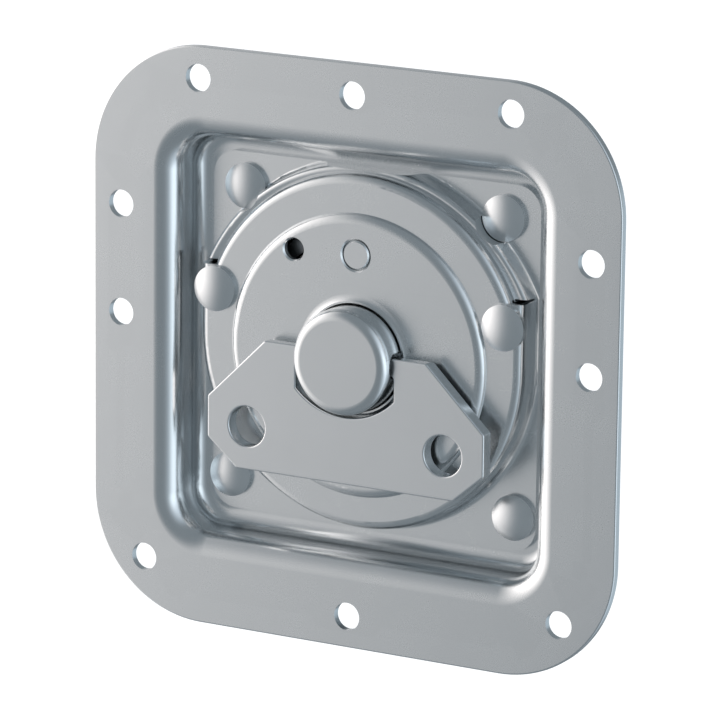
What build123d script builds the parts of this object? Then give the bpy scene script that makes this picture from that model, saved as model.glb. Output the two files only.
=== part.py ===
from build123d import *
from math import cos, hypot, radians, sqrt
import os

# Recessed rotary cam latch with a folding wing handle.
#
# A square flange with a drawn dish is screwed to a door. A stamped cover, riveted to the
# dish floor, houses an index plate that turns with the spindle. The wing handle lies flat
# in the dish, folds out about two tabs held in the hub cap, and turns the spindle by a
# quarter turn. A cam behind the dish then swings away from the frame that it held.
#
# Millimetres. X is to the right, Z is up and -Y points out of the door, to the user.
# The origin is the centre of the flange's back face, on the spindle's axis.
# A height is measured out of the door, from the flange's back face.

# Flange and drawn dish, one pressing
flange_rim = 17.9
flange_corner_r = 24.2
sheet_t = 1.5
dish_corner_r = 7.0
dish_depth = 10.5
lip_r = 4.5
floor_r = 3.0
rim_r = 0.35

# Screw holes through the flange
screw_hole_r = 2.75
screw_inset = 6.2
top_pitch = 33.6
side_low_z = 3.0
side_pitch = 21.45

# Stamped cover plate
cover_gap = 3.6
cover_rim = 0.5
cover_corner_r = 5.0
cover_t = 1.2
housing_rise = 6.0
housing_edge_r = 1.8
lower_arc_z = 0.8
seam_z = 14.0
disc_rise = 1.3
disc_inset = 7.3
disc_edge_run = 1.9
wall_lean = 0.2
ridge_centre_z = -2.0
ridge_top_gap = 1.4
ridge_rise = 4.0
ridge_inner_run = 3.6
ridge_inner_drop = 0.65
ridge_outer_run = 0.5
ridge_edge_r = 0.9
ridge_foot_r = 0.6
foot_r = 1.0
slit_length = 3.0
slit_width = 0.6
collar_rise = 0.4
collar_flat = 0.35
collar_flare = 1.3
gauge_hole_r = 2.05
gauge_hole_x = -13.6
gauge_hole_inset = 8.3
hole_chamfer = 0.3

# Rivets
rivet_head_r = 4.45
rivet_head_rise = 1.9
rivet_head_side = 0.9
rivet_rim = 0.25
rivet_shank_r = 2.4
rivet_tail_r = 3.6
rivet_tail_t = 1.3
rivet_gap = 0.1
rivet_seat_gap = 0.15
top_rivet_side_inset = 7.5
top_rivet_end_inset = 6.5
bottom_rivet_side_inset = 4.4
bottom_rivet_end_inset = 6.8
mid_rivet_inset = 3.7
mid_rivet_drop = 4.5
mid_shank_r = 1.5
mid_post_gap = 0.15
mid_tail_r = 2.6

# Hub cap and the slots that hold the wing's tabs
cap_r = 10.3
cap_rise = 6.6
cap_edge_r = 2.0
cap_wall = 1.6
cap_roof = 1.4
slot_gap = 0.35
run_gap = 0.3

# Wing handle
wing_t = 3.0
wing_lift = 1.0
tab_half = 1.75
wing_top_x = 17.6
wing_side_x = 30.1
wing_side_top_z = -10.5
wing_side_low_z = -18.65
wing_bottom_x = 23.7
wing_bottom_z = -24.15
notch_side_z = -6.5
notch_bottom_z = -11.0
wing_corner_r = 0.6
wing_edge_r = 0.35
ear_back_r = 1.2
padlock_hole_r = 3.95
padlock_hole_inset = 8.75
padlock_hole_z = -15.6

# Spindle and what turns on it
core_gap = 0.05
collar_t = 1.5
collar_drop = 0.7
drive_r = 8.4
drive_flat = 7.1
drive_gap = 0.05
journal_r = 7.0
square_side = 9.5
square_gap = 0.05
square_short = 0.3
stud_r = 4.0
stud_spare = 2.0
stud_chamfer = 0.6
index_rim = 2.9
index_gap = 1.0
index_t = 2.0
quarter_turn = 90
thrust_t = 0.4
thrust_rim = 1.5
spring_r = 13.0
spring_flat = 1.8
spring_t = 0.8
stop_z = 19.8
stop_r = 2.5
stop_head_r = 2.85
stop_shoulder_r = 4.2
stop_shoulder_t = 0.8
stop_shoulder_gap = 0.6
stop_gap = 0.15

# Bush swaged into the dish floor
bush_wall = 1.95
bush_flange_r = 11.0
bush_flange_t = 1.2
bush_tail = 2.2
bush_tail_rim = 1.0
bush_gap = 0.05
journal_gap = 0.05

# Cam and its fasteners
cam_gap = 1.3
cam_t = 4.0
cam_hub_r = 13.0
cam_tip_r = 8.5
cam_reach = 58.0
cam_edge_r = 0.4
cam_bevel = 0.8
cam_step = 0.8
washer_r = 8.5
washer_t = 1.6
lock_r = 6.6
lock_t = 2.0
lock_split = 1.2
nut_flats = 13.0
nut_t = 6.5
nut_chamfer = 0.7
fastener_gap = 0.2

# Heights that follow from the sizes above
floor_h = sheet_t - dish_depth
dish_back_h = floor_h - sheet_t
corner_h = floor_h + cover_t
housing_h = corner_h + housing_rise
cavity_h = housing_h - cover_t
disc_h = housing_h + disc_rise
disc_under_h = disc_h - cover_t
wing_h = disc_h + wing_lift
hinge_h = wing_h + wing_t / 2
cap_top_h = disc_h + cap_rise
collar_h = disc_under_h - collar_drop
index_h = collar_h - collar_t
index_back_h = index_h - index_t
bush_front_h = floor_h + bush_flange_t
bush_back_h = dish_back_h - bush_tail
cam_h = bush_back_h - cam_gap
cam_back_h = cam_h - cam_t
washer_back_h = cam_back_h - washer_t
lock_back_h = washer_back_h - lock_t
nut_back_h = lock_back_h - nut_t

# Radii, widths and places that follow from the fits, from the stop pin outwards
index_r = stop_z + stop_r + run_gap + index_rim
thrust_r = stop_z - stop_shoulder_r - stop_shoulder_gap
collar_r = thrust_r - thrust_rim
disc_r = index_r + index_gap + cover_t
housing_r = disc_r + disc_inset
ridge_r = housing_r - ridge_centre_z + ridge_top_gap
cover_w = 2 * (housing_r + cover_rim)
dish_w = cover_w + 2 * cover_gap
flange_w = dish_w + 2 * flange_rim
outer_w = dish_w + 2 * sheet_t
cavity_r = housing_r - cover_t
hub_hole_r = cap_r + run_gap
core_r = cap_r - cap_wall - core_gap
tab_x = core_r + run_gap
notch_x = cap_r + run_gap
tab_reach = hypot(tab_half - wing_edge_r, wing_t / 2 - wing_edge_r) + wing_edge_r
slot_r = tab_reach + slot_gap
bush_r = journal_r + journal_gap + bush_wall
gauge_hole_z = disc_r - gauge_hole_inset
padlock_hole_x = wing_side_x - padlock_hole_inset
top_rivet_x = cover_w / 2 - top_rivet_side_inset
top_rivet_z = cover_w / 2 - top_rivet_end_inset
bottom_rivet_x = cover_w / 2 - bottom_rivet_side_inset
bottom_rivet_z = bottom_rivet_end_inset - cover_w / 2
mid_rivet_x = housing_r - mid_rivet_inset
mid_rivet_z = seam_z - mid_rivet_drop
mid_post_r = cavity_r - mid_rivet_x - mid_post_gap
stud_hole_r = stud_r + fastener_gap

corner_rivets = {
    "top_left_rivet": (-top_rivet_x, top_rivet_z),
    "top_right_rivet": (top_rivet_x, top_rivet_z),
    "bottom_left_rivet": (-bottom_rivet_x, bottom_rivet_z),
    "bottom_right_rivet": (bottom_rivet_x, bottom_rivet_z),
}
mid_rivets = {
    "mid_left_rivet": (-mid_rivet_x, mid_rivet_z),
    "mid_right_rivet": (mid_rivet_x, mid_rivet_z),
}

os.makedirs("parts", exist_ok=True)


def level(height):
    """The plane parallel to the flange at a height, seen from the user's side."""
    return Plane.XZ.offset(height)


def upright(x, z):
    """The plane through (x, z) that holds the profile of a piece turned about Y."""
    return Plane(origin=(x, 0, z), x_dir=(1, 0, 0), z_dir=(0, 0, 1))


def rh(radius, height):
    """A point of a turned profile, on an upright plane."""
    return (radius, -height)


def edges_at(builder, height, reach):
    """The edges of a piece that lie at one height and within reach of the axis."""
    at_height = builder.edges().filter_by_position(Axis.Y, -height - 0.01, -height + 0.01)
    return at_height.filter_by(lambda e: max(abs(e.center().X), abs(e.center().Z)) < reach)


def save(builder, name):
    """Label a finished piece and write it to its own file."""
    builder.part.label = name
    export_step(builder.part, f"parts/{name}.step")


# Dish pan: flange and dish drawn from one sheet, with the same thickness all over
with BuildPart() as dish_pan:
    with BuildSketch(level(0)):
        RectangleRounded(flange_w, flange_w, flange_corner_r)
    extrude(amount=sheet_t)
    fillet(edges_at(dish_pan, sheet_t, flange_w), rim_r)
    with BuildSketch(level(0)):
        RectangleRounded(outer_w, outer_w, dish_corner_r + sheet_t)
    extrude(amount=dish_back_h)
    fillet(edges_at(dish_pan, dish_back_h, flange_w), floor_r + sheet_t)
    fillet(edges_at(dish_pan, 0, outer_w / 2 + sheet_t), lip_r - sheet_t)
    with BuildSketch(level(sheet_t)):
        RectangleRounded(dish_w, dish_w, dish_corner_r)
    extrude(amount=-dish_depth, mode=Mode.SUBTRACT)
    fillet(edges_at(dish_pan, floor_h, dish_w), floor_r)
    fillet(edges_at(dish_pan, sheet_t, dish_w / 2 + sheet_t), lip_r)

    row = flange_w / 2 - screw_inset
    diagonal = flange_w / 2 - flange_corner_r + (flange_corner_r - screw_inset) * cos(radians(45))
    screw_places = [(x, row) for x in (-top_pitch, 0, top_pitch)]
    screw_places += [(x, z) for x in (-row, row) for z in (side_low_z, side_low_z + side_pitch)]
    screw_places += [(-diagonal, -diagonal), (0, -row), (diagonal, -diagonal)]
    with BuildSketch(level(sheet_t)):
        with Locations(screw_places):
            Circle(screw_hole_r)
    extrude(amount=-sheet_t, mode=Mode.SUBTRACT)

    with BuildSketch(level(floor_h)):
        Circle(bush_r + bush_gap)
        with Locations(list(corner_rivets.values())):
            Circle(rivet_shank_r + rivet_gap)
        with Locations(list(mid_rivets.values())):
            Circle(mid_shank_r + rivet_gap)
    extrude(amount=-sheet_t, mode=Mode.SUBTRACT)
save(dish_pan, "dish_pan")

# Upper form of the cover: the round housing, and the ridge that leans against its wall.
# The ridge's centre lies below the housing's, so it widens from the top down to the seam.
with BuildPart() as upper_form:
    with BuildSketch(Plane.XY):
        with BuildLine():
            FilletPolyline(
                rh(0, housing_h),
                rh(housing_r, housing_h),
                rh(housing_r + wall_lean, corner_h),
                rh(cover_w, corner_h),
                radius=[housing_edge_r, foot_r],
            )
            Polyline(rh(cover_w, corner_h), rh(cover_w, floor_h), rh(0, floor_h), rh(0, housing_h))
        make_face()
    revolve(axis=Axis.Y)
    ridge_crest_h = corner_h + ridge_rise
    with BuildSketch(upright(0, ridge_centre_z)):
        with BuildLine():
            FilletPolyline(
                rh(ridge_r - ridge_inner_run, ridge_crest_h - ridge_inner_drop),
                rh(ridge_r, ridge_crest_h),
                rh(ridge_r + ridge_outer_run, corner_h),
                rh(ridge_r + 2 * ridge_foot_r + ridge_outer_run, corner_h),
                radius=[ridge_edge_r, ridge_foot_r],
            )
            Polyline(
                rh(ridge_r + 2 * ridge_foot_r + ridge_outer_run, corner_h),
                rh(ridge_r + 2 * ridge_foot_r + ridge_outer_run, floor_h),
                rh(ridge_r - ridge_inner_run, floor_h),
                rh(ridge_r - ridge_inner_run, ridge_crest_h - ridge_inner_drop),
            )
        make_face()
    revolve(axis=Axis((0, 0, ridge_centre_z), (0, 1, 0)))
    split(bisect_by=Plane.XY.offset(seam_z), keep=Keep.TOP)


def lower_outline(radius):
    """The housing's outline below the seam: an arc whose sides run straight up to the seam."""
    with BuildSketch(level(floor_h)) as outline:
        with Locations((0, lower_arc_z)):
            Circle(radius)
        with Locations((0, (lower_arc_z + seam_z) / 2)):
            Rectangle(2 * radius, seam_z - lower_arc_z)
        with Locations((0, seam_z + housing_r)):
            Rectangle(3 * housing_r, 2 * housing_r, mode=Mode.SUBTRACT)
    return outline.sketch


# Cover plate: blank, raised housing and disc, hollowed from behind, then trimmed square
with BuildPart() as cover_plate:
    with BuildSketch(level(floor_h)):
        with Locations((0, (seam_z - cover_w) / 2)):
            Rectangle(2 * cover_w, cover_w + seam_z)
    extrude(amount=cover_t)
    extrude(lower_outline(housing_r), amount=housing_h - floor_h)
    lower_top = edges_at(cover_plate, housing_h, cover_w)
    fillet(lower_top.filter_by(lambda e: e.center().Z < seam_z - sheet_t), housing_edge_r)
    lower_foot = edges_at(cover_plate, corner_h, housing_r + sheet_t)
    fillet(lower_foot.filter_by(lambda e: e.center().Z < seam_z - sheet_t), foot_r)
    add(upper_form.part)
    with BuildSketch(Plane.XY):
        with BuildLine():
            Line(rh(0, disc_h), rh(disc_r - disc_edge_run, disc_h))
            TangentArc(rh(disc_r - disc_edge_run, disc_h), rh(disc_r, housing_h), tangent=(1, 0))
            Polyline(
                rh(disc_r, housing_h),
                rh(disc_r, cavity_h),
                rh(0, cavity_h),
                rh(0, disc_h),
            )
        make_face()
    revolve(axis=Axis.Y)
    crest_r = hub_hole_r + collar_flat
    crest_h = disc_h + collar_rise
    with BuildSketch(Plane.XY):
        with BuildLine():
            Line(rh(0, crest_h), rh(crest_r, crest_h))
            Spline(rh(crest_r, crest_h), rh(crest_r + collar_flare, disc_h), tangents=[(1, 0.9), (1, 0)])
            Polyline(rh(crest_r + collar_flare, disc_h), rh(0, disc_h), rh(0, crest_h))
        make_face()
    revolve(axis=Axis.Y)

    # Hollow behind the lower housing, the upper housing and the disc
    extrude(lower_outline(cavity_r), amount=cavity_h - floor_h, mode=Mode.SUBTRACT)
    with BuildSketch(level(floor_h)):
        Circle(cavity_r)
        with Locations((0, seam_z - housing_r)):
            Rectangle(3 * housing_r, 2 * housing_r, mode=Mode.SUBTRACT)
    extrude(amount=cavity_h - floor_h, mode=Mode.SUBTRACT)
    with BuildSketch(level(floor_h)):
        Circle(disc_r - cover_t)
    extrude(amount=disc_under_h - floor_h, mode=Mode.SUBTRACT)

    # Trim to the square outline
    with BuildSketch(level(floor_h)):
        RectangleRounded(cover_w, cover_w, cover_corner_r)
    extrude(amount=cap_top_h - floor_h, mode=Mode.INTERSECT)

    # Hub hole, gauge hole and the hole for the stop pin's head
    with BuildSketch(level(cap_top_h)):
        Circle(hub_hole_r)
    extrude(amount=floor_h - cap_top_h, mode=Mode.SUBTRACT)
    with BuildSketch(level(disc_h)):
        with Locations((gauge_hole_x, gauge_hole_z)):
            Circle(gauge_hole_r)
        with Locations((0, stop_z)):
            Circle(stop_head_r + stop_gap)
    extrude(amount=-cover_t, mode=Mode.SUBTRACT)
    small_rims = edges_at(cover_plate, disc_h, disc_r).filter_by(GeomType.CIRCLE)
    chamfer(small_rims.filter_by(lambda e: e.radius < stop_shoulder_r), hole_chamfer)

    # Rivet holes, and flat seats where a rivet's head meets the ridge
    with BuildSketch(level(housing_h)):
        with Locations(list(mid_rivets.values())):
            Circle(mid_shank_r + rivet_gap)
    extrude(amount=-cover_t, mode=Mode.SUBTRACT)
    with BuildSketch(level(corner_h)):
        with Locations(list(corner_rivets.values())):
            Circle(rivet_shank_r + rivet_gap)
    extrude(amount=-cover_t, mode=Mode.SUBTRACT)
    with BuildSketch(level(corner_h)):
        with Locations(list(corner_rivets.values())):
            Circle(rivet_head_r + rivet_seat_gap)
    extrude(amount=housing_h - corner_h, mode=Mode.SUBTRACT)

    # Lanced slits where the ridge ends above the wider lower housing
    slit_x = sqrt(housing_r**2 - seam_z**2) + (slit_length + rivet_gap) / 2
    with BuildSketch(level(housing_h)):
        with Locations([(x, seam_z + slit_width / 2) for x in (-slit_x, slit_x)]):
            SlotOverall(slit_length, slit_width)
    extrude(amount=floor_h - housing_h, mode=Mode.SUBTRACT)
save(cover_plate, "cover_plate")


def rivet(x, z, seat_h, shank_r, tail_r):
    """A rivet with a low dome on its seat and a tail closed against the dish's back."""
    top_h = seat_h + rivet_head_rise
    tail_h = dish_back_h - rivet_tail_t
    with BuildPart() as piece:
        with BuildSketch(upright(x, z)):
            with BuildLine():
                TangentArc(rh(0, top_h), rh(rivet_head_r, seat_h + rivet_head_side), tangent=(1, 0))
                Polyline(
                    rh(rivet_head_r, seat_h + rivet_head_side),
                    rh(rivet_head_r, seat_h),
                    rh(shank_r, seat_h),
                    rh(shank_r, dish_back_h),
                    rh(tail_r, dish_back_h),
                    rh(tail_r, dish_back_h - rivet_rim),
                )
                TangentArc(rh(0, tail_h), rh(tail_r, dish_back_h - rivet_rim), tangent=(1, 0))
                Line(rh(0, tail_h), rh(0, top_h))
            make_face()
        revolve(axis=Axis((x, 0, z), (0, 1, 0)))
    return piece


# Corner rivets clamp the cover's corners to the dish floor
for name, (x, z) in corner_rivets.items():
    save(rivet(x, z, corner_h, rivet_shank_r, rivet_tail_r), name)

# Middle rivets have a thicker post that spaces the housing from the dish floor
for name, (x, z) in mid_rivets.items():
    with BuildPart() as spaced_rivet:
        add(rivet(x, z, housing_h, mid_shank_r, mid_tail_r).part)
        with BuildSketch(level(floor_h)):
            with Locations((x, z)):
                Circle(mid_post_r)
        extrude(amount=cavity_h - floor_h)
    save(spaced_rivet, name)

# Wing handle: flat stamping with an ear and a square tab on each side of the notch
with BuildPart() as wing_handle:
    with BuildSketch(level(wing_h)):
        with BuildLine():
            FilletPolyline(
                (notch_x, notch_side_z),
                (notch_x, -tab_half),
                (tab_x, -tab_half),
                (tab_x, tab_half),
                (wing_top_x, tab_half),
                (wing_side_x, wing_side_top_z),
                (wing_side_x, wing_side_low_z),
                (wing_bottom_x, wing_bottom_z),
                (0, wing_bottom_z),
                radius=wing_corner_r,
            )
            mirror(about=Plane.YZ)
            ThreePointArc((-notch_x, notch_side_z), (0, notch_bottom_z), (notch_x, notch_side_z))
        make_face()
        with Locations([(x, padlock_hole_z) for x in (-padlock_hole_x, padlock_hole_x)]):
            Circle(padlock_hole_r, mode=Mode.SUBTRACT)
    extrude(amount=wing_t)
    both_faces = edges_at(wing_handle, wing_h, wing_side_x + 1) + edges_at(
        wing_handle, wing_h + wing_t, wing_side_x + 1
    )
    fillet(both_faces, wing_edge_r)
    with BuildSketch(Plane.YZ):
        with Locations((-wing_h - ear_back_r, tab_half - ear_back_r)):
            Rectangle(2 * ear_back_r, 2 * ear_back_r, align=(Align.MIN, Align.MIN))
            Circle(ear_back_r, mode=Mode.SUBTRACT)
    extrude(amount=wing_side_x, both=True, mode=Mode.SUBTRACT)
save(wing_handle, "wing_handle")

# Hub cap: turned cup with an arched slot in each side for the wing's tabs
with BuildPart() as hub_cap:
    with BuildSketch(level(collar_h)):
        Circle(cap_r)
    extrude(amount=cap_top_h - collar_h)
    fillet(edges_at(hub_cap, cap_top_h, flange_w), cap_edge_r)
    with BuildSketch(level(collar_h)):
        Circle(cap_r - cap_wall)
    extrude(amount=cap_top_h - cap_roof - collar_h, mode=Mode.SUBTRACT)
    with BuildSketch(Plane.YZ):
        with Locations((-hinge_h, 0)):
            Circle(slot_r)
            Rectangle(hinge_h - collar_h, 2 * slot_r, align=(Align.MIN, Align.CENTER))
    extrude(amount=cap_r, both=True, mode=Mode.SUBTRACT)
save(hub_cap, "hub_cap")

# Spindle: core inside the cap, collar, flats for the index plate, journal, square and stud
with BuildPart() as spindle:
    with BuildSketch(level(collar_h)):
        Circle(core_r)
    extrude(amount=cap_top_h - cap_roof - core_gap - collar_h)
    with BuildSketch(level(collar_h)):
        Circle(cap_r)
        Rectangle(2 * cap_r, 2 * (slot_r - core_gap), mode=Mode.INTERSECT)
    extrude(amount=hinge_h - slot_r - collar_h)
    with BuildSketch(level(collar_h)):
        Circle(collar_r)
    extrude(amount=-collar_t)
    with BuildSketch(level(index_h)):
        Circle(drive_r)
        Rectangle(2 * drive_flat, 2 * drive_r, mode=Mode.INTERSECT)
    extrude(amount=-index_t)
    with BuildSketch(level(index_back_h)):
        Circle(journal_r)
    extrude(amount=cam_h - index_back_h)
    with BuildSketch(level(cam_h)):
        Rectangle(square_side, square_side)
        Circle(journal_r, mode=Mode.INTERSECT)
    extrude(amount=square_short - cam_t)
    with BuildSketch(level(cam_back_h + square_short)):
        Circle(stud_r)
    extrude(amount=nut_back_h - stud_spare - cam_back_h - square_short)
    chamfer(edges_at(spindle, nut_back_h - stud_spare, flange_w), stud_chamfer)
save(spindle, "spindle")

# Index plate: disc on the spindle's flats, with a slot that the stop pin runs in
with BuildPart() as index_plate:
    with BuildSketch(level(index_h)):
        Circle(index_r)
        with BuildSketch(mode=Mode.SUBTRACT):
            Circle(drive_r + drive_gap)
            Rectangle(2 * (drive_flat + drive_gap), 3 * drive_r, mode=Mode.INTERSECT)
        swing = Edge.make_circle(stop_z, start_angle=90, end_angle=90 + quarter_turn)
        SlotArc(swing, 2 * (stop_r + run_gap), mode=Mode.SUBTRACT)
    extrude(amount=-index_t)
save(index_plate, "index_plate")

# Stop pin: flush head in the cover, shoulder behind it, and a pin into the index plate
with BuildPart() as stop_pin:
    with BuildSketch(level(disc_h)):
        with Locations((0, stop_z)):
            Circle(stop_head_r)
    extrude(amount=-cover_t)
    with BuildSketch(level(disc_under_h)):
        with Locations((0, stop_z)):
            Circle(stop_shoulder_r)
    extrude(amount=-stop_shoulder_t)
    with BuildSketch(level(disc_under_h - stop_shoulder_t)):
        with Locations((0, stop_z)):
            Circle(stop_r)
    extrude(amount=index_back_h - disc_under_h + stop_shoulder_t)
    chamfer(edges_at(stop_pin, disc_h, flange_w), hole_chamfer)
save(stop_pin, "stop_pin")

# Thrust washer on the spindle's collar, under the disc
with BuildPart() as thrust_washer:
    with BuildSketch(level(collar_h)):
        Circle(thrust_r)
        Circle(hub_hole_r, mode=Mode.SUBTRACT)
    extrude(amount=thrust_t)
save(thrust_washer, "thrust_washer")

# Disc spring: cone that stands on the bush's flange and bears on the index plate
with BuildPart() as disc_spring:
    with BuildSketch(Plane.XY):
        with BuildLine():
            spring_bore = journal_r + run_gap
            spring_top_h = index_back_h - run_gap
            Polyline(
                rh(spring_bore, bush_front_h),
                rh(spring_bore + spring_flat, bush_front_h),
                rh(spring_r, spring_top_h - spring_t),
                rh(spring_r, spring_top_h),
                rh(spring_bore + spring_flat, bush_front_h + spring_t),
                rh(spring_bore, bush_front_h + spring_t),
                close=True,
            )
        make_face()
    revolve(axis=Axis.Y)
save(disc_spring, "disc_spring")

# Bearing bush: flange on the dish floor, tail rolled over behind it
with BuildPart() as bearing_bush:
    with BuildSketch(Plane.XY):
        with BuildLine():
            bush_bore = journal_r + journal_gap
            Polyline(
                rh(bush_bore, bush_front_h),
                rh(bush_flange_r, bush_front_h),
                rh(bush_flange_r, floor_h),
                rh(bush_r, floor_h),
                rh(bush_r, dish_back_h),
                rh(bush_r + bush_tail_rim, dish_back_h),
            )
            TangentArc(
                rh(bush_r + bush_tail_rim, dish_back_h),
                rh(bush_r - bush_wall / 2, bush_back_h),
                tangent=(0, 1),
            )
            Polyline(
                rh(bush_r - bush_wall / 2, bush_back_h),
                rh(bush_bore, bush_back_h),
                rh(bush_bore, bush_front_h),
            )
        make_face()
    revolve(axis=Axis.Y)
save(bearing_bush, "bearing_bush")


def cam_rim(height):
    """The cam's outer edges at a height, without those of its square hole."""
    return edges_at(cam, height, flange_w).filter_by(lambda e: e.length > square_side + 2 * square_gap + 1)


# Cam: flat arm on the spindle's square. The arm's front is milled back from the hub's, and
# bevelled all round, where it slides behind the frame and bears on it
with BuildPart() as cam:
    with BuildSketch(level(cam_h)):
        Circle(cam_hub_r)
        with Locations((0, cam_tip_r - cam_reach)):
            Circle(cam_tip_r)
        make_hull()
        Rectangle(2 * (square_side / 2 + square_gap), 2 * (square_side / 2 + square_gap), mode=Mode.SUBTRACT)
    extrude(amount=-cam_t)
    fillet(cam_rim(cam_back_h), cam_edge_r)
    with BuildSketch(level(cam_h)):
        with Locations((0, -cam_hub_r)):
            Rectangle(2 * cam_hub_r, cam_reach, align=(Align.CENTER, Align.MAX))
    extrude(amount=-cam_step, mode=Mode.SUBTRACT)
    arm_front = edges_at(cam, cam_h - cam_step, flange_w)
    chamfer(arm_front.filter_by(lambda e: e.center().Z < -cam_hub_r - cam_bevel), cam_bevel)
save(cam, "cam")

# Flat washer, split lock washer and nut that hold the cam
with BuildPart() as flat_washer:
    with BuildSketch(level(cam_back_h)):
        Circle(washer_r)
        Circle(stud_hole_r, mode=Mode.SUBTRACT)
    extrude(amount=-washer_t)
save(flat_washer, "flat_washer")

with BuildPart() as lock_washer:
    with BuildSketch(level(washer_back_h)):
        Circle(lock_r)
        Circle(stud_hole_r, mode=Mode.SUBTRACT)
        with Locations((lock_r, 0)):
            Rectangle(2 * lock_r, lock_split, rotation=15, mode=Mode.SUBTRACT)
    extrude(amount=-lock_t)
save(lock_washer, "lock_washer")

with BuildPart() as cam_nut:
    with BuildSketch(level(lock_back_h)):
        RegularPolygon(nut_flats / 2, 6, major_radius=False)
        Circle(stud_hole_r, mode=Mode.SUBTRACT)
    extrude(amount=-nut_t)
    with BuildSketch(Plane.XY):
        with BuildLine():
            Polyline(
                rh(0, lock_back_h),
                rh(nut_flats / 2, lock_back_h),
                rh(nut_flats / 2 + 2 * nut_chamfer, lock_back_h - nut_chamfer),
                rh(nut_flats / 2 + 2 * nut_chamfer, nut_back_h + nut_chamfer),
                rh(nut_flats / 2, nut_back_h),
                rh(0, nut_back_h),
                close=True,
            )
        make_face()
    revolve(axis=Axis.Y, mode=Mode.INTERSECT)
save(cam_nut, "cam_nut")
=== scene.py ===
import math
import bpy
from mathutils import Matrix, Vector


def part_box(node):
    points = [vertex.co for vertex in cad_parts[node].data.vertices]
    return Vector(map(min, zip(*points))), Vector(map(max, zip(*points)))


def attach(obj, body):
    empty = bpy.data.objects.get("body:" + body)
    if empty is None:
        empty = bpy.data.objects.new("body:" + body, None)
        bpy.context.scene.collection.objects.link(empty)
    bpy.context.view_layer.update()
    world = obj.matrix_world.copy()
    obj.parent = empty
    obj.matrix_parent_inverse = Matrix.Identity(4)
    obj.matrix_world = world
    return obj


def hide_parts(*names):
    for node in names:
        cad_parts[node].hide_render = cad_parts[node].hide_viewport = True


bl_info = {
    "name": "Rotary cam latch",
    "version": (1, 0, 0),
    "blender": (4, 5, 0),
    "location": "3D View > Sidebar > Latch",
    "description": "Dresses a rotary cam latch: pressed dish, rivets, stud thread, finishes and studio",
    "category": "Object",
}

import bmesh
import bpy
from bpy.props import FloatProperty, FloatVectorProperty, IntProperty, PointerProperty
from mathutils import Euler, Matrix, Vector

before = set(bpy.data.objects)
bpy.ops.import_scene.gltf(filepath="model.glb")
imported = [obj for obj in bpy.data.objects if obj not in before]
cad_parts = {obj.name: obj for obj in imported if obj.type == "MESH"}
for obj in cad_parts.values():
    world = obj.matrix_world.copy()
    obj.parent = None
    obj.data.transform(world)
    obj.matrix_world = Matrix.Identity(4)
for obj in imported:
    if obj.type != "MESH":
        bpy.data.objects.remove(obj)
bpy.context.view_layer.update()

MM = 0.001
MERGE = 0.001 * MM
SHARP_ANGLE = math.radians(32)
WHITE = (1, 1, 1, 1)
METAL = {"Metallic": 1}
PLASTIC = {"IOR": 1.53}

# Steps round a whole circle
BORE_STEPS = 72
RIVET_STEPS = 48
SCREW_HOLE_STEPS = 40
RIVET_HOLE_STEPS = 32

# The view that shows the latch from its upper right
CAMERA_PLACE = (0.47246, -0.84671, 0.23616)
CAMERA_TURN = (76.2872, -0.6078, 29.2330)
CAMERA_LENS = 262.85
FLOOR_HALF = 6


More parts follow.
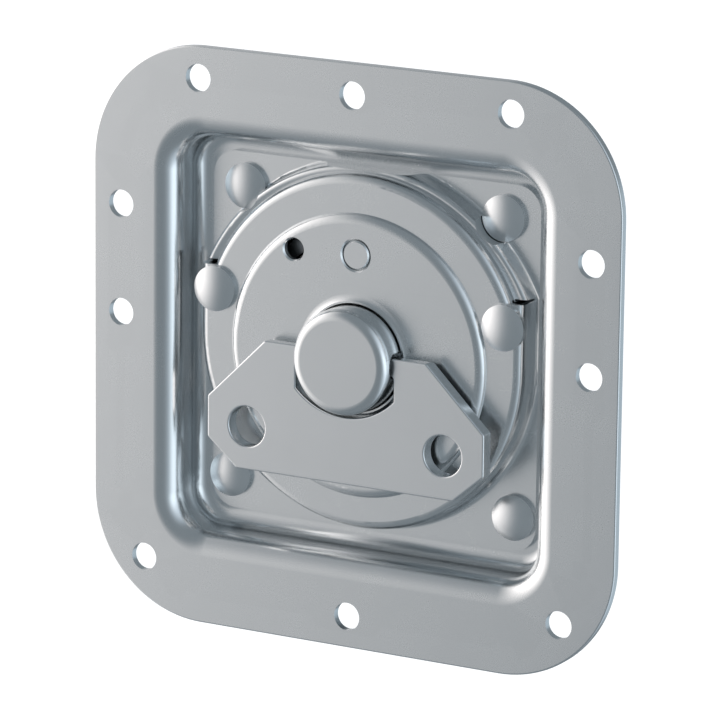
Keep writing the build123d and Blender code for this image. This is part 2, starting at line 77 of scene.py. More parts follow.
class LatchSizes(bpy.types.PropertyGroup):
    """Sizes of the pressed dish, the rivets and the stud's thread."""

    sheet: FloatProperty(
        name="Sheet", description="Thickness of the dish's sheet", default=1.5 * MM, unit="LENGTH"
    )
    rim: FloatProperty(
        name="Rim", description="Rounding of the flange's front rim", default=0.35 * MM, unit="LENGTH"
    )
    flange_corner: FloatProperty(
        name="Flange corner", description="Radius of the flange's corners", default=24.2 * MM, unit="LENGTH"
    )
    mouth: FloatProperty(
        name="Mouth",
        description="Half the width between the dish's walls",
        default=39.1 * MM,
        unit="LENGTH",
    )
    mouth_corner: FloatProperty(
        name="Mouth corner",
        description="Radius between two of the dish's walls",
        default=7 * MM,
        unit="LENGTH",
    )
    depth: FloatProperty(
        name="Depth",
        description="From the flange's front to the dish's floor",
        default=10.5 * MM,
        unit="LENGTH",
    )
    lip: FloatProperty(
        name="Lip", description="Radius from flange to wall", default=4.5 * MM, unit="LENGTH"
    )
    foot: FloatProperty(name="Foot", description="Radius from wall to floor", default=3 * MM, unit="LENGTH")
    screw_hole: FloatProperty(
        name="Screw hole", description="Radius of the flange's holes", default=2.75 * MM, unit="LENGTH"
    )
    screw_inset: FloatProperty(
        name="Screw inset",
        description="From the flange's edge to a hole's centre",
        default=6.2 * MM,
        unit="LENGTH",
    )
    top_pitch: FloatProperty(
        name="Top pitch", description="Between the holes of the top row", default=33.6 * MM, unit="LENGTH"
    )
    side_low: FloatProperty(
        name="Side height", description="Height of the lower side holes", default=3 * MM, unit="LENGTH"
    )
    side_pitch: FloatProperty(
        name="Side pitch", description="Between the holes of a side row", default=21.45 * MM, unit="LENGTH"
    )
    bush_hole: FloatProperty(
        name="Bush hole", description="Radius of the floor's middle hole", default=9.05 * MM, unit="LENGTH"
    )
    arc_steps: IntProperty(name="Arc steps", description="Steps in a quarter of a round", default=28, min=4)
    head_rise: FloatProperty(
        name="Head rise", description="Whole height of a rivet's head", default=1.9 * MM, unit="LENGTH"
    )
    head_side: FloatProperty(
        name="Head side", description="Height of the head's upright side", default=0.9 * MM, unit="LENGTH"
    )
    tail_rise: FloatProperty(
        name="Tail rise",
        description="Whole height of a rivet's closed tail",
        default=1.3 * MM,
        unit="LENGTH",
    )
    tail_side: FloatProperty(
        name="Tail side", description="Height of the tail's upright side", default=0.25 * MM, unit="LENGTH"
    )
    corner_shank: FloatProperty(
        name="Corner shank", description="Radius of a corner rivet's shank", default=2.4 * MM, unit="LENGTH"
    )
    corner_tail: FloatProperty(
        name="Corner tail", description="Radius of a corner rivet's tail", default=3.6 * MM, unit="LENGTH"
    )
    mid_shank: FloatProperty(
        name="Housing shank",
        description="Radius of a housing rivet's shank",
        default=1.5 * MM,
        unit="LENGTH",
    )
    mid_tail: FloatProperty(
        name="Housing tail", description="Radius of a housing rivet's tail", default=2.6 * MM, unit="LENGTH"
    )
    rivet_play: FloatProperty(
        name="Rivet play",
        description="From a shank to the wall of its hole",
        default=0.1 * MM,
        unit="LENGTH",
    )
    post: FloatProperty(
        name="Post",
        description="Radius of a housing rivet under the cover",
        default=2.35 * MM,
        unit="LENGTH",
    )
    post_start: FloatProperty(
        name="Post start", description="From the head's foot to the post", default=1.2 * MM, unit="LENGTH"
    )
    post_end: FloatProperty(
        name="Post end",
        description="From the head's foot to the post's end",
        default=7.2 * MM,
        unit="LENGTH",
    )
    stud: FloatProperty(
        name="Stud", description="Radius at the thread's crest", default=4 * MM, unit="LENGTH"
    )
    stud_chamfer: FloatProperty(
        name="Stud chamfer", description="Chamfer at the end of the stud", default=0.3 * MM, unit="LENGTH"
    )
    thread_pitch: FloatProperty(
        name="Thread pitch",
        description="Advance of the stud's thread in one turn",
        default=1.25 * MM,
        unit="LENGTH",
    )
    thread_depth: FloatProperty(
        name="Thread depth",
        description="From the thread's crest to its root",
        default=0.68 * MM,
        unit="LENGTH",
    )


class StudioLook(bpy.types.PropertyGroup):
    """Colours of the latch's metals, and light of the studio that they reflect."""

    zinc: FloatVectorProperty(
        name="Zinc",
        description="Bright zinc plating",
        default=(0.76, 0.78, 0.79),
        subtype="COLOR",
        min=0,
        max=1,
    )
    steel: FloatVectorProperty(
        name="Steel",
        description="Bare index plate",
        default=(0.42, 0.42, 0.43),
        subtype="COLOR",
        min=0,
        max=1,
    )
    spring: FloatVectorProperty(
        name="Spring",
        description="Tempered disc spring",
        default=(0.30, 0.33, 0.38),
        subtype="COLOR",
        min=0,
        max=1,
    )
    bronze: FloatVectorProperty(
        name="Bronze", description="Bearing bush", default=(0.62, 0.42, 0.22), subtype="COLOR", min=0, max=1
    )
    nylon: FloatVectorProperty(
        name="Nylon", description="Thrust washer", default=(0.78, 0.77, 0.72), subtype="COLOR", min=0, max=1
    )
    room: FloatVectorProperty(
        name="Room",
        description="Plain part of the studio",
        default=(0.228, 0.262, 0.286),
        subtype="COLOR",
        min=0,
    )
    side_wall: FloatVectorProperty(
        name="Side wall",
        description="Paler wall on the right",
        default=(0.79, 0.89, 0.99),
        subtype="COLOR",
        min=0,
    )
    low_wall: FloatVectorProperty(
        name="Low wall",
        description="Wall under the right light",
        default=(0.79, 0.91, 1.02),
        subtype="COLOR",
        min=0,
    )
    back_wall: FloatVectorProperty(
        name="Back wall",
        description="Paler wall behind",
        default=(0.48, 0.57, 0.64),
        subtype="COLOR",
        min=0,
    )
    left_box: FloatVectorProperty(
        name="Left box",
        description="Large soft light on the left",
        default=(2.4, 2.26, 2.2),
        subtype="COLOR",
        min=0,
    )
    right_box: FloatVectorProperty(
        name="Right box",
        description="Soft light on the right",
        default=(1.22, 1.37, 1.48),
        subtype="COLOR",
        min=0,
    )
    sky: FloatVectorProperty(
        name="Sky", description="Light on matt surfaces", default=(0.93, 0.95, 0.97), subtype="COLOR", min=0
    )
    dome_radius: FloatProperty(
        name="Dome", description="Radius of the studio round the latch", default=3, unit="LENGTH"
    )
    floor_drop: FloatProperty(
        name="Floor", description="From the latch's centre down to the floor", default=0.34, unit="LENGTH"
    )


def sizes():
    """The sizes that the panel shows."""
    return bpy.context.scene.latch_sizes


def look():
    """The colours that the panel shows."""
    return bpy.context.scene.latch_look


class Socket:
    """An output of a shader node. Python's operators on it add Math nodes."""

    def __init__(self, tree, socket):
        self.tree = tree
        self.socket = socket

    def node(self, kind, settings=None, inputs=None, output=0):
        """Adds any node to the tree: its settings first, then the values or links of its sockets."""
        made = self.tree.nodes.new(kind)
        for name, value in (settings or {}).items():
            setattr(made, name, value)
        for name, value in (inputs or {}).items():
            if isinstance(value, Socket):
                self.tree.links.new(value.socket, made.inputs[name])
            else:
                made.inputs[name].default_value = value
        return Socket(self.tree, made.outputs[output])

    def math(self, operation, *values):
        """A Math node on sockets and numbers."""
        return self.node("ShaderNodeMath", {"operation": operation}, dict(enumerate(values)))

    def vector(self, operation, *values):
        """A Vector Math node on sockets and vectors."""
        return self.node("ShaderNodeVectorMath", {"operation": operation}, dict(enumerate(values)))

    def __add__(self, other):
        return self.math("ADD", self, other)

    def __radd__(self, other):
        return self.math("ADD", other, self)

    def __sub__(self, other):
        return self.math("SUBTRACT", self, other)

    def __rsub__(self, other):
        return self.math("SUBTRACT", other, self)

    def __mul__(self, other):
        return self.math("MULTIPLY", self, other)

    def __rmul__(self, other):
        return self.math("MULTIPLY", other, self)

    def __truediv__(self, other):
        return self.math("DIVIDE", self, other)

    def __pow__(self, other):
        return self.math("POWER", self, other)

    def __abs__(self):
        return self.math("ABSOLUTE", self)

    def axes(self):
        """The x, y and z of a vector."""
        split = self.node("ShaderNodeSeparateXYZ", None, {0: self}).socket.node
        return [Socket(self.tree, part) for part in split.outputs]

    def between(self, low, high):
        """0 up to low, 1 from high on, and a smooth slope from one to the other."""
        inputs = {"Value": self, "From Min": low, "From Max": high}
        return self.node("ShaderNodeMapRange", {"interpolation_type": "SMOOTHSTEP"}, inputs)

    def mix(self, first, second):
        """Blends two colours, with this value as the share of the second."""
        first_color, second_color, color_result = 6, 7, 2
        inputs = {"Factor": self, first_color: first, second_color: second}
        return self.node("ShaderNodeMix", {"data_type": "RGBA"}, inputs, color_result)

    def noise(self, size, detail, stretch=(1, 1, 1)):
        """Noise on this place, with features of one size, in metres."""
        place = self.vector("MULTIPLY", self, stretch)
        inputs = {"Vector": place, "Scale": 1 / size, "Detail": detail, "Roughness": 0.55}
        return self.node("ShaderNodeTexNoise", None, inputs)


def new_material(name):
    """An empty material, with the socket of the Object coordinates and its output node."""
    material = bpy.data.materials.new(name)
    material.use_nodes = True
    tree = material.node_tree
    tree.nodes.clear()
    output = tree.nodes.new("ShaderNodeOutputMaterial")
    coordinates = tree.nodes.new("ShaderNodeTexCoord")
    return material, Socket(tree, coordinates.outputs["Object"]), output


def shade(place, output, constants, varying):
    """Ends a material in a Principled shader: its plain values, then the sockets that vary."""
    shader = place.tree.nodes.new("ShaderNodeBsdfPrincipled")
    for name, value in constants.items():
        shader.inputs[name].default_value = value
    for name, value in varying.items():
        place.tree.links.new(value.socket, shader.inputs[name])
    place.tree.links.new(shader.outputs[0], output.inputs["Surface"])
    return shader


def scaled(color, factor):
    """A colour made lighter or darker, with its alpha."""
    return (*(min(1, part * factor) for part in color[:3]), 1)


def facing(place):
    """The surface's own direction on the latch."""
    coordinates = place.tree.nodes.new("ShaderNodeTexCoord")
    return Socket(place.tree, coordinates.outputs["Normal"])


def rays(tree, *kinds):
    """Sockets that are 1 for the named kinds of ray, and 0 for others."""
    path = tree.nodes.new("ShaderNodeLightPath")
    return [Socket(tree, path.outputs[kind]) for kind in kinds]


def plated(name, color, roughness=0.27, patches=0.015, marks=None):
    """Metal with a thin bright coat: soft patches, fine grain, and smoother walls where it was drawn."""
    material, place, output = new_material(name)
    patch = place.noise(size=9 * MM, detail=3)
    speck = place.noise(size=0.2 * MM, detail=2)
    streak = place.noise(size=0.3 * MM, detail=2, stretch=(1, 0.06, 1))
    _, outward, _ = facing(place).axes()
    steep, flat = 0.55, 0.95
    wall = 1 - abs(outward).between(steep, flat)

    dark, bright = 0.8, 1.2
    shine = 1 - patches + 2 * patches * patch
    base = shine.between(dark, bright).mix(scaled(color, dark), scaled(color, bright))
    patch_dull, grain, wall_gloss = 0.02, 0.02, 0.06
    dull = roughness - patch_dull / 2 + patch_dull * patch + grain * (speck - 0.5) - wall_gloss * wall
    speck_height, streak_height = 0.15, 0.12
    height = speck_height * speck + streak_height * wall * streak
    if marks:
        height = height + marks(place)
    bump = place.node("ShaderNodeBump", None, {"Strength": 0.10, "Distance": 0.02 * MM, "Height": height})
    shade(place, output, METAL, {"Base Color": base, "Roughness": dull, "Normal": bump})
    return material


def crease(place):
    """Height of a faint line across the cover's disc, left by the press tool's edge."""
    x, _, z = place.axes()
    level, half_width = 14 * MM, 0.35 * MM
    fade_start, fade_end = 14 * MM, 27 * MM
    strength = 2.5
    ridge = 1 - (abs(z - level) / half_width).between(0, 1)
    return strength * ridge * (1 - abs(x).between(fade_start, fade_end))


def turned(place):
    """Height of the fine rings left by the lathe, round the spindle's axis."""
    x, y, z = place.axes()
    reach = (x * x + z * z) ** 0.5
    rings = place.node("ShaderNodeCombineXYZ", None, {"X": reach, "Y": y})
    strength = 1.2
    return strength * rings.noise(size=0.12 * MM, detail=3)


def bare(name, color, roughness, constants, size=1.5 * MM):
    """A bare metal or plastic with a mottled tone."""
    material, place, output = new_material(name)
    mottle = place.noise(size, detail=4)
    dark, bright = 0.8, 1.15
    base = mottle.between(0.25, 0.75).mix(scaled(color, dark), scaled(color, bright))
    spread = 0.12
    dull = roughness - spread / 2 + spread * mottle
    bump = place.node("ShaderNodeBump", None, {"Strength": 0.15, "Distance": 0.03 * MM, "Height": mottle})
    shade(place, output, constants, {"Base Color": base, "Roughness": dull, "Normal": bump})
    return material


def finishes():
    """One material for each slot of the record, made once."""
    colors = look()
    zinc = colors.zinc
    makers = {
        "zinc_pressing": lambda name: plated(name, zinc),
        "zinc_cover": lambda name: plated(name, zinc, marks=crease),
        "zinc_handle": lambda name: plated(name, scaled(zinc, 1.02), 0.29),
        "zinc_hub": lambda name: plated(name, zinc, 0.25, marks=turned),
        "zinc_rivet": lambda name: plated(name, scaled(zinc, 1.03), 0.3, 0.05),
        "zinc_pin": lambda name: plated(name, zinc, 0.3),
        "steel_spindle": lambda name: plated(name, scaled(zinc, 0.86), 0.3, marks=turned),
        "steel_index": lambda name: bare(name, colors.steel, 0.4, METAL),
        "spring_steel": lambda name: bare(name, colors.spring, 0.35, METAL),
        "bronze_bush": lambda name: bare(name, colors.bronze, 0.36, METAL),
        "nylon_washer": lambda name: bare(name, colors.nylon, 0.5, PLASTIC, 0.8 * MM),
        "zinc_cam": lambda name: plated(name, scaled(zinc, 0.97), 0.33, 0.06),
        "zinc_washer": lambda name: plated(name, zinc, 0.3),
        "zinc_nut": lambda name: plated(name, zinc, 0.28, marks=turned),
    }
    made = {}
    for slot, make in makers.items():
        name = slot + "_finish"
        made[slot] = bpy.data.materials.get(name) or make(name)
    return made


def piece(name, mesh, body, slot, nodes):
    """Puts a finished mesh in the scene as a piece that rides on a body and stands for its nodes."""
    made = bpy.data.objects.new(name, mesh)
    bpy.context.scene.collection.objects.link(made)
    mesh.materials.clear()
    mesh.materials.append(finishes()[slot])
    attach(made, body)
    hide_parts(*nodes)


def smoothed(mesh):
    """The mesh with sharp edges kept and each round given the normals of the flats beside it."""
    for face in mesh.polygons:
        face.use_smooth = True
    mesh.set_sharp_from_angle(angle=SHARP_ANGLE)
    holder = bpy.data.objects.new("smoothing", mesh)
    bpy.context.scene.collection.objects.link(holder)
    weighted = holder.modifiers.new("Weighted", "WEIGHTED_NORMAL")
    weighted.keep_sharp = True
    weighted.weight = 100
    result = bpy.data.meshes.new_from_object(holder.evaluated_get(bpy.context.evaluated_depsgraph_get()))
    bpy.data.objects.remove(holder)
    return result


def finished(work, name):
    """Turns a bmesh into a smooth mesh whose faces point outwards."""
    bmesh.ops.remove_doubles(work, verts=work.verts, dist=MERGE)
    bmesh.ops.recalc_face_normals(work, faces=work.faces)
    mesh = bpy.data.meshes.new(name)
    work.to_mesh(mesh)
    work.free()
    return smoothed(mesh)


def at(x, height, z):
    """A point at a height out of the door, which is towards -Y."""
    return Vector((x, -height, z))


def loop_edges(work, points):
    """Adds a closed loop of points, and returns its edges and its corners."""
    corners = [work.verts.new(point) for point in points]
    edges = [work.edges.new((a, b)) for a, b in zip(corners, corners[1:] + corners[:1])]
    return edges, corners


def join_loops(work, first, second):
    """A band of faces between two loops of as many points."""
    for i in range(len(first)):
        work.faces.new((first[i - 1], first[i], second[i], second[i - 1]))


def rounded_square(half, corner, height):
    """Points of a square with round corners, always the same number."""
    steps = sizes().arc_steps
    middle = half - corner
    points = []
    for quarter, (side, rise) in enumerate(((1, 1), (-1, 1), (-1, -1), (1, -1))):
        for step in range(steps + 1):
            turn = math.radians(90) * (quarter + step / steps)
            x = side * middle + corner * math.cos(turn)
            z = rise * middle + corner * math.sin(turn)
            points.append(at(x, height, z))
    return points


def circle(x, z, radius, height, steps):
    """Points of a circle on a face that is parallel to the flange."""
    turns = (math.tau * step / steps for step in range(steps))
    return [at(x + radius * math.cos(turn), height, z + radius * math.sin(turn)) for turn in turns]


def arc(centre, radius, start, end, steps=14):
    """Points of a profile's arc as pairs of reach and height, with angles from the flange's plane."""
    turns = [math.radians(start + (end - start) * step / steps) for step in range(steps + 1)]
    return [(centre[0] + radius * math.cos(turn), centre[1] + radius * math.sin(turn)) for turn in turns]


def dome(radius, rise, foot, steps=9):
    """Profile of a low dome from its top to its edge, at a height above its foot."""
    bow = (radius * radius + rise * rise) / (2 * rise)
    reaches = [radius * step / steps for step in range(steps + 1)]
    return [(reach, foot + math.sqrt(bow * bow - reach * reach) - bow + rise) for reach in reaches]


def turned_mesh(name, profile, steps):
    """Turns a profile of pairs of radius and height round the Y axis. Its ends lie on the axis."""
    work = bmesh.new()
    loops = []
    for radius, height in profile:
        if radius:
            loops.append([work.verts.new(point) for point in circle(0, 0, radius, height, steps)])
        else:
            loops.append([work.verts.new(at(0, height, 0))])
    for first, second in zip(loops, loops[1:]):
        if len(first) == len(second):
            join_loops(work, first, second)
            continue
        tip, ring = (first[0], second) if len(first) == 1 else (second[0], first)
        for i in range(steps):
            work.faces.new((tip, ring[i - 1], ring[i]))
    return finished(work, name)


def screw_places(size, half):
    """Where the ten screws go: three above, two at each side and three below."""
    row = half - size.screw_inset
    diagonal = math.cos(math.radians(45))
    corner = half - size.flange_corner + (size.flange_corner - size.screw_inset) * diagonal
    places = [(x, row) for x in (-size.top_pitch, 0, size.top_pitch)]
    places += [(x, size.side_low + rise) for x in (-row, row) for rise in (0, size.side_pitch)]
    return places + [(-corner, -corner), (0, -row), (corner, -corner)]


def rivet_places():
    """The middle of each rivet in the frame, by name."""
    found = {}
    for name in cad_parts:
        if name.endswith("_rivet"):
            low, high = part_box(name)
            found[name] = (low + high) / 2
    return found


def rivet_radii(name):
    """Radii of the shank and the tail of a rivet or a row of them, by its name."""
    size = sizes()
    if name.startswith("mid"):
        return size.mid_shank, size.mid_tail
    return size.corner_shank, size.corner_tail


class LATCH_OT_dish(bpy.types.Operator):
    """Flange and drawn dish, pressed from one sheet, with its holes"""

    bl_idname = "latch.dish"
    bl_label = "Pressed dish"

    def execute(self, context):
        size = sizes()
        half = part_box("dish_pan")[1].x
        floor = size.sheet - size.depth
        lip_centre = (size.mouth + size.lip, size.sheet - size.lip)
        foot_centre = (size.mouth - size.foot, floor + size.foot)
        front = arc(lip_centre, size.lip, 90, 180)
        front += arc(foot_centre, size.foot, 0, -90)
        back = arc(lip_centre, size.lip - size.sheet, 90, 180)
        back += arc(foot_centre, size.foot + size.sheet, 0, -90)
        edge = [(half, 0)] + arc((half - size.rim, size.sheet - size.rim), size.rim, 0, 90, steps=5)

        work = bmesh.new()
        flange_root = half - size.flange_corner
        wall_root = size.mouth - size.mouth_corner
        outer = self.band(work, edge, flange_root)
        inner = self.band(work, front, wall_root)
        under = self.band(work, back, wall_root)
        holes = [(x, z, size.screw_hole, SCREW_HOLE_STEPS) for x, z in screw_places(size, half)]
        self.pierce(work, {size.sheet: (outer[-1], inner[0]), 0: (outer[0], under[0])}, holes)
        holes = [(0, 0, size.bush_hole, BORE_STEPS)]
        for name, middle in rivet_places().items():
            shank, _ = rivet_radii(name)
            holes.append((middle.x, middle.z, shank + size.rivet_play, RIVET_HOLE_STEPS))
        self.pierce(work, {floor: (inner[-1],), floor - size.sheet: (under[-1],)}, holes)
        piece("dish", finished(work, "dish"), "dish", "zinc_pressing", ["dish_pan"])
        return {"FINISHED"}

    def band(self, work, profile, root):
        """Sweeps a profile round the square, its corners round one root. Returns its loops of edges."""
        loops = [loop_edges(work, rounded_square(reach, reach - root, height)) for reach, height in profile]
        for (_, first), (_, second) in zip(loops, loops[1:]):
            join_loops(work, first, second)
        return [edges for edges, _ in loops]

    def pierce(self, work, faces, holes):
        """Fills two flat faces, by height and outline, round their holes, and joins the holes' rims."""
        rims = []
        for height, outline in faces.items():
            loops = [loop_edges(work, circle(x, z, radius, height, steps)) for x, z, radius, steps in holes]
            edges = [edge for loop in outline for edge in loop]
            edges += [edge for loop, _ in loops for edge in loop]
            bmesh.ops.triangle_fill(work, use_beauty=True, edges=edges)
            rims.append([corners for _, corners in loops])
        for first, second in zip(*rims):
            join_loops(work, first, second)


def new_tree(name, inputs):
    """A Geometry Nodes tree with its geometry in and out and its named inputs, and their sockets."""
    tree = bpy.data.node_groups.new(name, "GeometryNodeTree")
    tree.interface.new_socket("Geometry", in_out="OUTPUT", socket_type="NodeSocketGeometry")
    tree.interface.new_socket("Geometry", in_out="INPUT", socket_type="NodeSocketGeometry")
    for label, kind in inputs.items():
        tree.interface.new_socket(label, in_out="INPUT", socket_type=kind)
    return tree, tree.nodes.new("NodeGroupInput").outputs


def linked(tree, kind, settings=None, inputs=None):
    """The first output of a new Geometry Nodes node with its settings, values and links."""
    made = tree.nodes.new(kind)
    for name, value in (settings or {}).items():
        setattr(made, name, value)
    for name, value in (inputs or {}).items():
        if isinstance(value, bpy.types.NodeSocket):
            tree.links.new(value, made.inputs[name])
        else:
            made.inputs[name].default_value = value
    return made.outputs[0] if made.outputs else None


def end_tree(tree, given, geometry):
    """Joins what a tree made to what came in, makes it real and gives it its finish."""
    joined = tree.nodes.new("GeometryNodeJoinGeometry")
    tree.links.new(geometry, joined.inputs[0])
    tree.links.new(given["Geometry"], joined.inputs[0])
    real = linked(tree, "GeometryNodeRealizeInstances", None, {"Geometry": joined.outputs[0]})
    dressed = linked(tree, "GeometryNodeSetMaterial", None, {"Geometry": real, "Material": given["Finish"]})
    linked(tree, "NodeGroupOutput", None, {"Geometry": dressed})


def grown(context, name, rows):
    """The plain mesh that Geometry Nodes make, for pairs of a tree and the values of its named inputs."""
    carrier = bpy.data.objects.new(name, bpy.data.meshes.new(name))
    context.scene.collection.objects.link(carrier)
    for tree, values in rows:
        modifier = carrier.modifiers.new(name, "NODES")
        modifier.node_group = tree
        for item in tree.interface.items_tree:
            if item.in_out == "INPUT" and item.name in values:
                modifier[item.identifier] = values[item.name]
    context.view_layer.update()
    mesh = bpy.data.meshes.new_from_object(carrier.evaluated_get(context.evaluated_depsgraph_get()))
    bpy.data.objects.remove(carrier)
    return mesh


def rivet_row_tree():
    """A row of one kind of rivet, each turned about its own axis by a seeded angle."""
    inputs = {
        "Rivet": "NodeSocketObject",
        "Half Width": "NodeSocketFloat",
        "Height": "NodeSocketFloat",
        "Rise": "NodeSocketFloat",
        "Seed": "NodeSocketInt",
        "Finish": "NodeSocketMaterial",
    }
    tree, given = new_tree("Rivet row", inputs)

    def negative(name):
        return linked(tree, "ShaderNodeMath", {"operation": "MULTIPLY"}, {0: given[name], 1: -1.0})

    depth = negative("Rise")
    start, end = (
        linked(tree, "ShaderNodeCombineXYZ", None, {"X": across, "Y": depth, "Z": given["Height"]})
        for across in (negative("Half Width"), given["Half Width"])
    )
    row = linked(
        tree,
        "GeometryNodeMeshLine",
        {"mode": "END_POINTS"},
        {"Count": 2, "Start Location": start, "Offset": end},
    )
    turn = linked(
        tree,
        "FunctionNodeRandomValue",
        {"data_type": "FLOAT_VECTOR"},
        {"Min": (0, 0, 0), "Max": (0, math.tau, 0), "Seed": given["Seed"]},
    )
    rivet = tree.nodes.new("GeometryNodeObjectInfo")
    tree.links.new(given["Rivet"], rivet.inputs["Object"])
    inputs = {"Points": row, "Instance": rivet.outputs["Geometry"], "Rotation": turn}
    end_tree(tree, given, linked(tree, "GeometryNodeInstanceOnPoints", None, inputs))
    return tree


class LATCH_OT_rivets(bpy.types.Operator):
    """Domed rivets with closed tails: two rows through the cover's corners and one through the housing"""

    bl_idname = "latch.rivets"
    bl_label = "Rivets"

    def execute(self, context):
        seeds = {"top": 11, "bottom": 12, "mid": 13}
        tree = rivet_row_tree()
        rows = []
        for row, seed in seeds.items():
            low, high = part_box(row + "_right_rivet")
            values = {
                "Rivet": self.kind(row, low, high),
                "Half Width": (low.x + high.x) / 2,
                "Height": (low.z + high.z) / 2,
                "Rise": -low.y,
                "Seed": seed,
                "Finish": finishes()["zinc_rivet"],
            }
            rows.append((tree, values))
        mesh = grown(context, "rivet_rows", rows)
        for _, values in rows:
            bpy.data.objects.remove(values["Rivet"])
        piece("rivets", mesh, "dish", "zinc_rivet", list(rivet_places()))
        return {"FINISHED"}

    def kind(self, row, low, high):
        """One rivet with the top of its dome at the origin."""
        size = sizes()
        shank, tail = rivet_radii(row)
        head = (high.x - low.x) / 2
        length = high.y - low.y
        neck = -size.head_rise
        profile = dome(head, size.head_rise - size.head_side, neck + size.head_side)
        profile += [(head, neck), (shank, neck)]
        if row == "mid":
            start = neck - size.post_start
            end = neck - size.post_end
            profile += [(shank, start), (size.post, start), (size.post, end), (shank, end)]
        profile += [(shank, size.tail_rise - length), (tail, size.tail_rise - length)]
        closed = dome(tail, size.tail_rise - size.tail_side, size.tail_side - size.tail_rise)
        profile += [(reach, -length - height) for reach, height in reversed(closed)]
        made = bpy.data.objects.new(row + "_kind", turned_mesh(row + "_kind", profile, RIVET_STEPS))
        bpy.context.scene.collection.objects.link(made)
        return made


def thread_tree():
    """A helical ridge that follows the stud, with a flat crest."""
    inputs = {
        "Root Radius": "NodeSocketFloat",
        "Pitch": "NodeSocketFloat",
        "Depth": "NodeSocketFloat",
        "Turns": "NodeSocketFloat",
        "Finish": "NodeSocketMaterial",
    }
    tree, given = new_tree("Stud thread", inputs)

    def times(name, factor, added=0.0):
        inputs = {0: given[name], 1: factor, 2: added}
        return linked(tree, "ShaderNodeMath", {"operation": "MULTIPLY_ADD"}, inputs)

    sunk = 0.15
    foot_width, crest_width = 0.85, 0.14
    middle = times("Depth", (1 - sunk) / 2, given["Root Radius"])
    spiral = linked(
        tree,
        "GeometryNodeCurveSpiral",
        None,
        {
            "Resolution": BORE_STEPS,
            "Rotations": given["Turns"],
            "Start Radius": middle,
            "End Radius": middle,
            "Height": times("Pitch", given["Turns"]),
        },
    )
    level = linked(tree, "GeometryNodeSetCurveNormal", {"mode": "Z_UP"}, {"Curve": spiral})
    section = linked(
        tree,
        "GeometryNodeCurvePrimitiveQuadrilateral",
        {"mode": "TRAPEZOID"},
        {
            "Height": times("Depth", 1 + sunk),
            "Bottom Width": times("Pitch", foot_width),
            "Top Width": times("Pitch", crest_width),
            "Offset": 0.0,
        },
    )
    inputs = {"Geometry": section, "Rotation": (0, 0, math.radians(90))}
    outward = linked(tree, "GeometryNodeTransform", None, inputs)
    inputs = {"Curve": level, "Profile Curve": outward, "Fill Caps": True}
    end_tree(tree, given, linked(tree, "GeometryNodeCurveToMesh", None, inputs))
    return tree


class LATCH_OT_spindle(bpy.types.Operator):
    """Spindle whose stud carries a cut thread in place of the plain rod"""

    bl_idname = "latch.spindle"
    bl_label = "Threaded spindle"

    def execute(self, context):
        size = sizes()
        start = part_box("flat_washer")[1].y
        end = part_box("spindle")[1].y
        root = size.stud - size.thread_depth
        work = bmesh.new()
        work.from_mesh(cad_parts["spindle"].data)
        bmesh.ops.remove_doubles(work, verts=work.verts, dist=MERGE)
        cut = bmesh.ops.bisect_plane(
            work,
            geom=[*work.verts, *work.edges, *work.faces],
            plane_co=(0, start, 0),
            plane_no=(0, 1, 0),
            clear_outer=True,
        )
        rim = [part for part in cut["geom_cut"] if isinstance(part, bmesh.types.BMEdge)]
        bmesh.ops.contextual_create(work, geom=rim)
        work.from_mesh(self.rod(root, start, end))
        work.from_mesh(self.thread(context, root, start, end))
        mesh = bpy.data.meshes.new("spindle_threaded")
        work.to_mesh(mesh)
        work.free()
        piece("spindle_threaded", smoothed(mesh), "spindle", "steel_spindle", ["spindle"])
        return {"FINISHED"}

    def rod(self, root, start, end):
        """The stud's core, sunk a little into what carries it, with its chamfered end."""
        sunk = 0.1 * MM
        chamfer = sizes().stud_chamfer
        profile = [
            (0, sunk - start),
            (root, sunk - start),
            (root, chamfer - end),
            (root - chamfer, -end),
            (0, -end),
        ]
        return turned_mesh("rod", profile, BORE_STEPS)

    def thread(self, context, root, start, end):
        """The thread's ridge, laid along the stud from the washer to the chamfer."""
        size = sizes()
        lead = 0.65 * size.thread_pitch
        values = {
            "Root Radius": root,
            "Pitch": size.thread_pitch,
            "Depth": size.thread_depth,
            "Turns": (end - start - 2 * lead) / size.thread_pitch,
            "Finish": finishes()["steel_spindle"],
        }
        mesh = grown(context, "thread", [(thread_tree(), values)])
        along_stud = Matrix.Rotation(math.radians(-90), 4, "X")
        mesh.transform(Matrix.Translation((0, start + lead, 0)) @ along_stud)
        return mesh


class LATCH_OT_finish(bpy.types.Operator):
    """Zinc, steel, bronze and nylon on the pieces whose shape comes from the frame"""

    bl_idname = "latch.finish"
    bl_label = "Finishes"

    def execute(self, context):
        made = finishes()
        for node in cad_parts.values():
            for slot in node.material_slots:
                slot.material = made[slot.material.name]
        return {"FINISHED"}


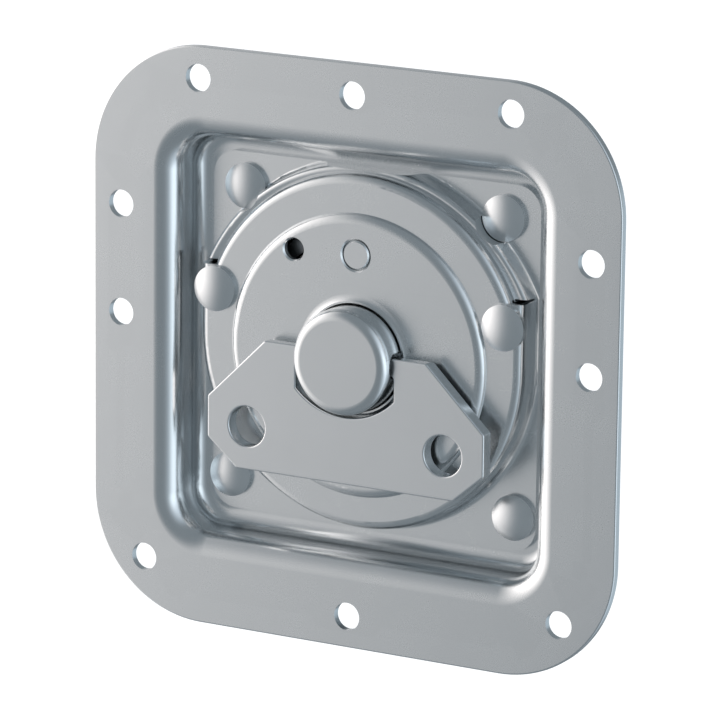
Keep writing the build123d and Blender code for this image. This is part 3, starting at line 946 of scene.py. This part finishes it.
class LATCH_OT_stage(bpy.types.Operator):
    """Camera, pale floor, white surroundings and the studio that the metal reflects"""

    bl_idname = "latch.stage"
    bl_label = "Stage"

    def execute(self, context):
        context.scene.view_settings.view_transform = "Standard"
        self.camera(context)
        self.world(context)
        self.floor(context)
        self.studio(context)
        return {"FINISHED"}

    def camera(self, context):
        """The camera at the latch's upper right."""
        lens = bpy.data.cameras.new("camera")
        lens.lens = CAMERA_LENS
        lens.sensor_width = 36
        lens.clip_start = 0.05
        camera = bpy.data.objects.new("camera", lens)
        camera.location = CAMERA_PLACE
        camera.rotation_euler = Euler([math.radians(turn) for turn in CAMERA_TURN])
        context.scene.collection.objects.link(camera)
        context.scene.camera = camera

    def world(self, context):
        """White wherever it is seen, and slightly cooler as a light."""
        world = bpy.data.worlds.new("surroundings")
        context.scene.world = world
        world.use_nodes = True
        tree = world.node_tree
        tree.nodes.clear()
        seen, glossy, clear = rays(tree, "Is Camera Ray", "Is Glossy Ray", "Is Transmission Ray")
        white = seen.math("MAXIMUM", seen.math("MAXIMUM", seen, glossy), clear)
        color = white.mix((*look().sky, 1), WHITE)
        background = tree.nodes.new("ShaderNodeBackground")
        tree.links.new(color.socket, background.inputs["Color"])
        output = tree.nodes.new("ShaderNodeOutputWorld")
        tree.links.new(background.outputs[0], output.inputs["Surface"])

    def floor(self, context):
        """A large sheet of pale paper, which glows a little to the camera alone."""
        material, place, output = new_material("floor")
        dark, pale = (0.93, 0.93, 0.93, 1), (0.96, 0.96, 0.96, 1)
        tooth = place.noise(size=0.01, detail=3)
        paper = (0.5 + 0.5 * tooth).mix(dark, pale)
        constants = {"Roughness": 0.9, "Emission Color": WHITE}
        shader = shade(place, output, constants, {"Base Color": paper})
        glow = 0.2
        seen = rays(place.tree, "Is Camera Ray")[0]
        place.tree.links.new((glow * seen).socket, shader.inputs["Emission Strength"])
        work = bmesh.new()
        bmesh.ops.create_grid(work, x_segments=1, y_segments=1, size=FLOOR_HALF)
        bmesh.ops.translate(work, verts=work.verts, vec=(0, 0, -look().floor_drop))
        floor = self.staged(context, "floor", work, material)
        floor.visible_glossy = False

    def studio(self, context):
        """A dome that only reflections see: a plain room with paler walls and a soft light at each side."""
        material, place, output = new_material("studio")
        x, y, z = place.vector("NORMALIZE", place).axes()
        degrees = 180 / math.pi
        side = x.math("ARCTAN2", x, 0 - y) * degrees
        rise = z.math("ARCSINE", z) * degrees
        settings = look()
        light = place.node("ShaderNodeRGB")
        light.socket.default_value = (*settings.room, 1)
        for color, middle, reach, edge, lean in (
            (settings.side_wall, (73, 24), (63, 56), (0, 0.9), 0),
            (settings.low_wall, (95, -35), (51, 41), (0, 1.35), 0.5),
            (settings.back_wall, (162, -13), (32, 24), (0.8, 1.3), -0.5),
            (settings.right_box, (74, -4), (32, 34), (0.2, 1.0), 0.4),
            (settings.left_box, (-87, 6), (73, 64), (0, 1.07), 0.14),
        ):
            along = (rise - middle[1]) / reach[1]
            across = (side - middle[0] + lean * (rise - middle[1])) / reach[0]
            away = (across * across + along * along) ** 0.5
            light = (1 - away.between(*edge)).mix(light, (*color, 1))
        emission = place.node("ShaderNodeEmission", None, {"Color": light})
        place.tree.links.new(emission.socket, output.inputs["Surface"])
        work = bmesh.new()
        bmesh.ops.create_icosphere(work, subdivisions=4, radius=settings.dome_radius)
        studio = self.staged(context, "studio", work, material)
        studio.visible_camera = False
        studio.visible_diffuse = False
        studio.visible_shadow = False
        studio.visible_transmission = False

    def staged(self, context, name, work, material):
        """A bmesh as a part of the stage, which isn't part of the latch."""
        mesh = bpy.data.meshes.new(name)
        work.to_mesh(mesh)
        work.free()
        mesh.materials.append(material)
        made = bpy.data.objects.new(name, mesh)
        context.scene.collection.objects.link(made)
        return made


STEPS = (LATCH_OT_finish, LATCH_OT_dish, LATCH_OT_rivets, LATCH_OT_spindle, LATCH_OT_stage)


class LATCH_PT_panel(bpy.types.Panel):
    """The latch's sizes, its look and the steps that make it."""

    bl_idname = "LATCH_PT_panel"
    bl_label = "Rotary cam latch"
    bl_space_type = "VIEW_3D"
    bl_region_type = "UI"
    bl_category = "Latch"

    def draw(self, context):
        for group in (context.scene.latch_sizes, context.scene.latch_look):
            box = self.layout.box()
            for name in group.__annotations__:
                box.prop(group, name)
        for step in STEPS:
            self.layout.operator(step.bl_idname)


CLASSES = (LatchSizes, StudioLook, *STEPS, LATCH_PT_panel)


def register():
    for each in CLASSES:
        bpy.utils.register_class(each)
    bpy.types.Scene.latch_sizes = PointerProperty(type=LatchSizes)
    bpy.types.Scene.latch_look = PointerProperty(type=StudioLook)


def unregister():
    del bpy.types.Scene.latch_look
    del bpy.types.Scene.latch_sizes
    for each in reversed(CLASSES):
        bpy.utils.unregister_class(each)


def main():
    register()
    for step in STEPS:
        family, name = step.bl_idname.split(".")
        getattr(getattr(bpy.ops, family), name)()


if __name__ == "__main__":
    main()
